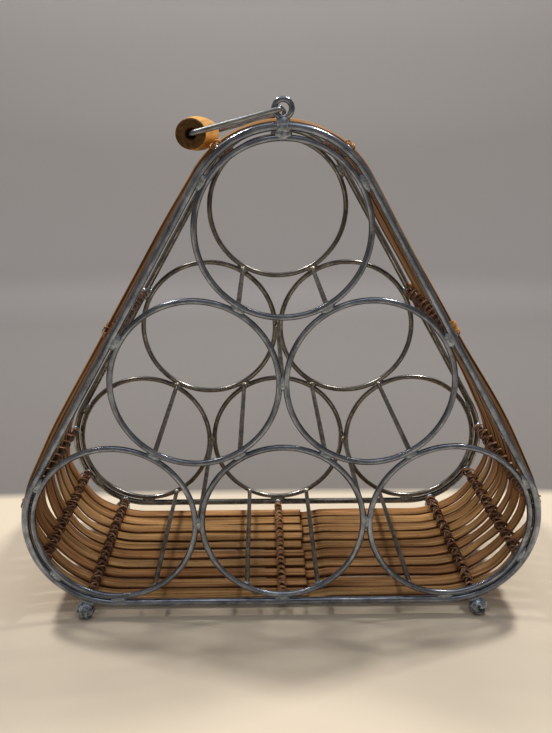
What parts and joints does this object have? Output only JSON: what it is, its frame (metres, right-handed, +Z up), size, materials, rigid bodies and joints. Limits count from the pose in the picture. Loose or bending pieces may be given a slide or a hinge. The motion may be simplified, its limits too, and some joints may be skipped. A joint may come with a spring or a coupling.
{
  "type": "wine rack",
  "caption": "Triangular welded-wire bottle rack wrapped in lashed cane slats, on ball feet, with a folding wire bail and a turned wooden grip for carrying.",
  "frame": {"origin": "on the floor under the middle of the rack", "axes": "+X to the right as seen from the front, +Y to the back along the bottles, +Z up"},
  "size_m": [0.3216, 0.1546, 0.3091],
  "materials": {
    "galvanised_wire": "dull grey galvanised wire with darker weld spots",
    "cane": "split cane slats, tan brown with darker edges, satin",
    "rattan": "dark reddish brown split rattan binding, satin",
    "turned_wood": "honey coloured turned wood, lightly varnished, darker end grain"
  },
  "bodies": {
    "rack": {"front_frame": "galvanised_wire", "front_ring_top": "galvanised_wire", "front_ring_middle_left": "galvanised_wire", "front_ring_middle_right": "galvanised_wire", "front_ring_bottom_left": "galvanised_wire", "front_ring_bottom_centre": "galvanised_wire", "front_ring_bottom_right": "galvanised_wire", "front_foot_left": "galvanised_wire", "front_foot_right": "galvanised_wire", "front_eye": "galvanised_wire", "back_frame": "galvanised_wire", "back_ring_top": "galvanised_wire", "back_ring_middle_left": "galvanised_wire", "back_ring_middle_right": "galvanised_wire", "back_ring_bottom_left": "galvanised_wire", "back_ring_bottom_centre": "galvanised_wire", "back_ring_bottom_right": "galvanised_wire", "back_foot_left": "galvanised_wire", "back_foot_right": "galvanised_wire", "back_eye": "galvanised_wire", "cross_rod_top_left": "galvanised_wire", "cross_rod_top_right": "galvanised_wire", "cross_rod_middle": "galvanised_wire", "cross_rod_lower_outer_left": "galvanised_wire", "cross_rod_lower_inner_left": "galvanised_wire", "cross_rod_lower_inner_right": "galvanised_wire", "cross_rod_lower_outer_right": "galvanised_wire", "cross_rod_bottom_left": "galvanised_wire", "cross_rod_bottom_right": "galvanised_wire", "bottle_rest_left": "galvanised_wire", "bottle_rest_centre_left": "galvanised_wire", "bottle_rest_centre_right": "galvanised_wire", "bottle_rest_right": "galvanised_wire", "cane_slat_1": "cane", "cane_slat_2": "cane", "cane_slat_3": "cane", "cane_slat_4": "cane", "cane_slat_5": "cane", "cane_slat_6": "cane", "cane_slat_7": "cane", "cane_slat_8": "cane", "cane_slat_9": "cane", "cane_slat_10": "cane", "lashing_bottom_centre": "rattan", "lashing_bottom_left": "rattan", "lashing_corner_left": "rattan", "lashing_lower_left": "rattan", "lashing_upper_left": "rattan", "lashing_top_left": "rattan", "lashing_bottom_right": "rattan", "lashing_corner_right": "rattan", "lashing_lower_right": "rattan", "lashing_upper_right": "rattan", "lashing_top_right": "rattan"},
    "bail": {"bail": "galvanised_wire"},
    "grip": {"grip": "turned_wood"}
  },
  "joints": [
    {"name": "bail_swing", "type": "hinge", "parent": "rack", "child": "bail", "pos_m": [0, 0, 0.3029], "axis": [0, 1, 0], "range_deg": [0, 209.4]},
    {"name": "grip_spin", "type": "hinge", "parent": "bail", "child": "grip", "pos_m": [-0.04894, 0, 0.29005], "axis": [0, 1, 0], "continuous": true}
  ]
}
